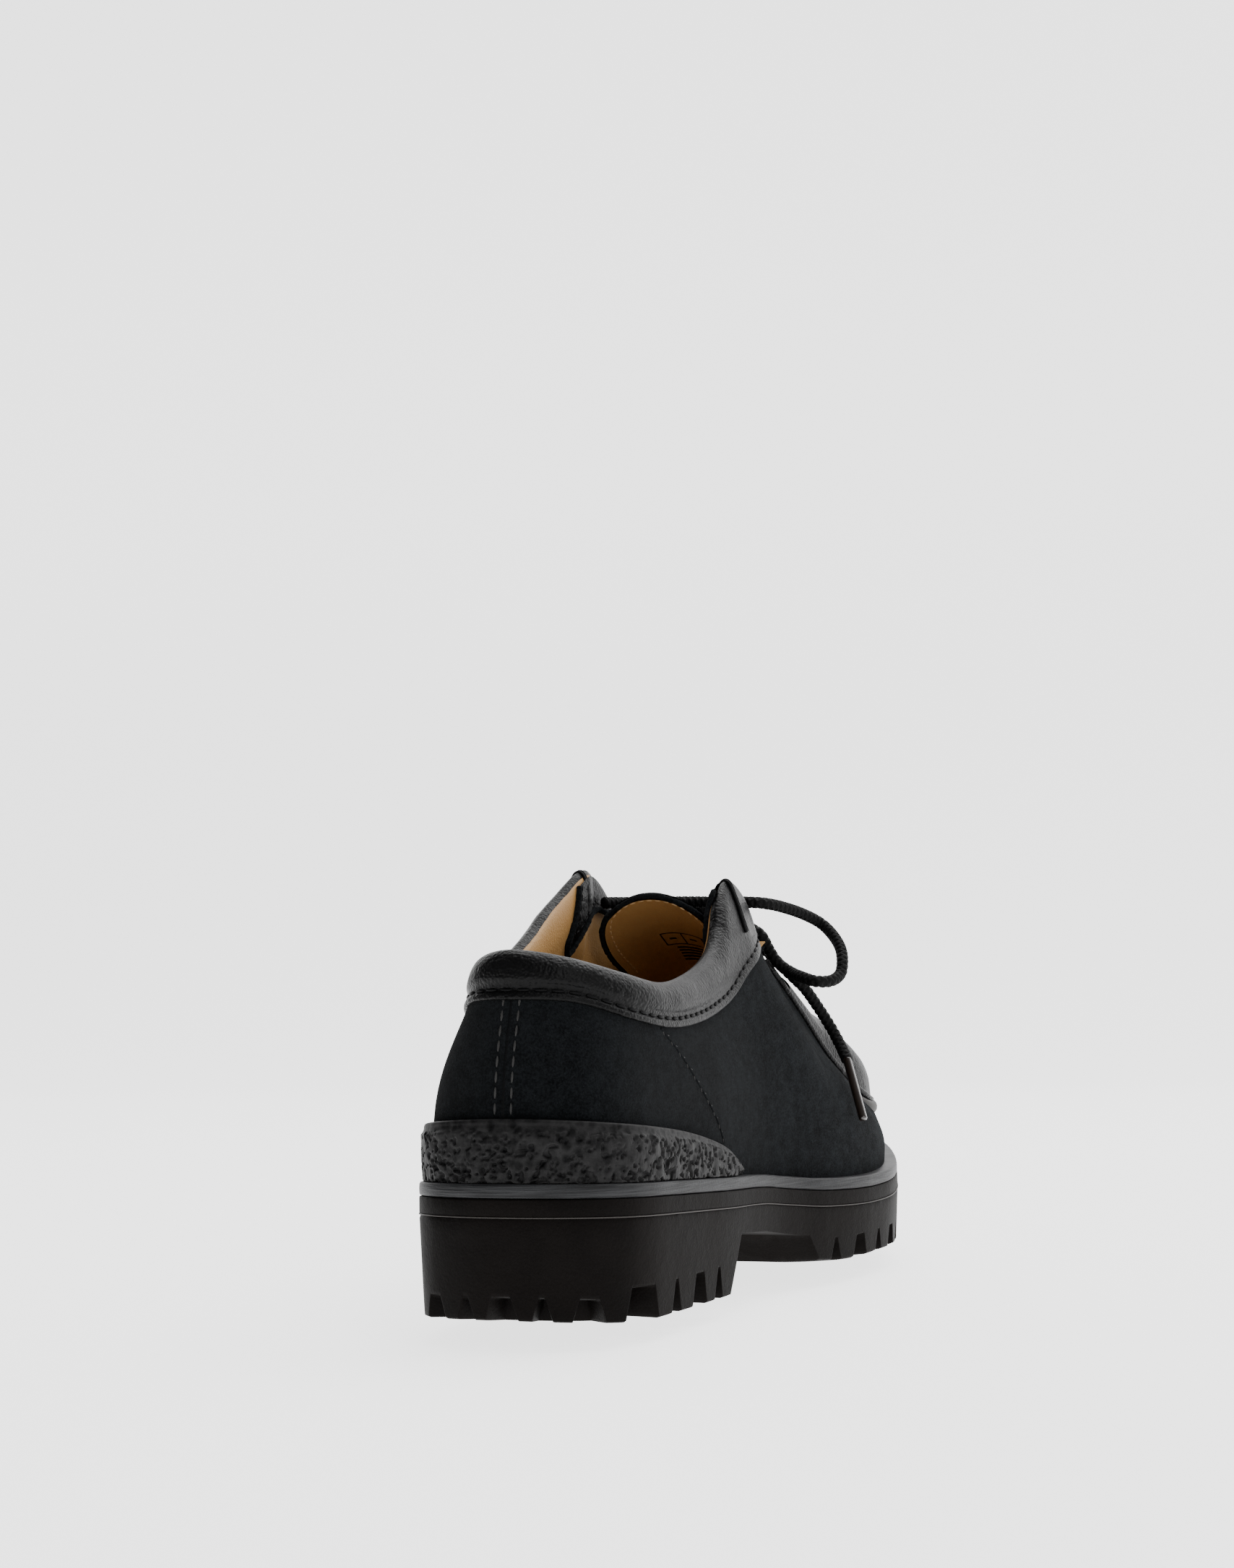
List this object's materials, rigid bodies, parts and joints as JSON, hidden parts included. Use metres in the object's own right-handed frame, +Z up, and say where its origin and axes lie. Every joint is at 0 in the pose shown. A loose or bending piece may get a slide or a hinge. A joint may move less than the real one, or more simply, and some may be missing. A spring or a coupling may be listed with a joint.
{
  "type": "lace-up moccasin-toe shoe",
  "caption": "Low lace-up shoe for the right foot: suede upper with a padded collar, a raised moccasin apron, a two-pair lace tied in a bow and a thick lugged sole with a heel.",
  "frame": {"origin": "centre of the sole's outline, on the floor the shoe stands on", "axes": "+Y towards the toe, +X towards the outer side of the foot, +Z up"},
  "size_m": [0.1132, 0.303, 0.1303],
  "materials": {
    "rubber_sole": "matt brown-black rubber with a fine grain",
    "welt": "mid-grey, faint fluting along its edge",
    "lining": "tan leather",
    "suede": "blue-black suede with a fine nap",
    "crepe": "dark grey pitted crepe",
    "smooth_leather": "black smooth leather, soft gloss and fine grain",
    "lace": "black round braid",
    "tip": "black tip under clear gloss"
  },
  "bodies": {
    "root": {"outsole": "rubber_sole", "midsole": "rubber_sole", "welt": "welt", "insole": "lining", "upper": "suede", "heel_rand": "crepe", "collar": "smooth_leather", "apron": "smooth_leather", "tongue": "suede", "lace_crossing_lower": "lace", "lace_crossing_upper": "lace", "lace_knot": "lace", "lace_loop_outer": "lace", "lace_loop_inner": "lace", "lace_end_outer": "lace", "lace_end_inner": "lace", "aglet_outer": "tip", "aglet_inner": "tip"}
  },
  "joints": []
}
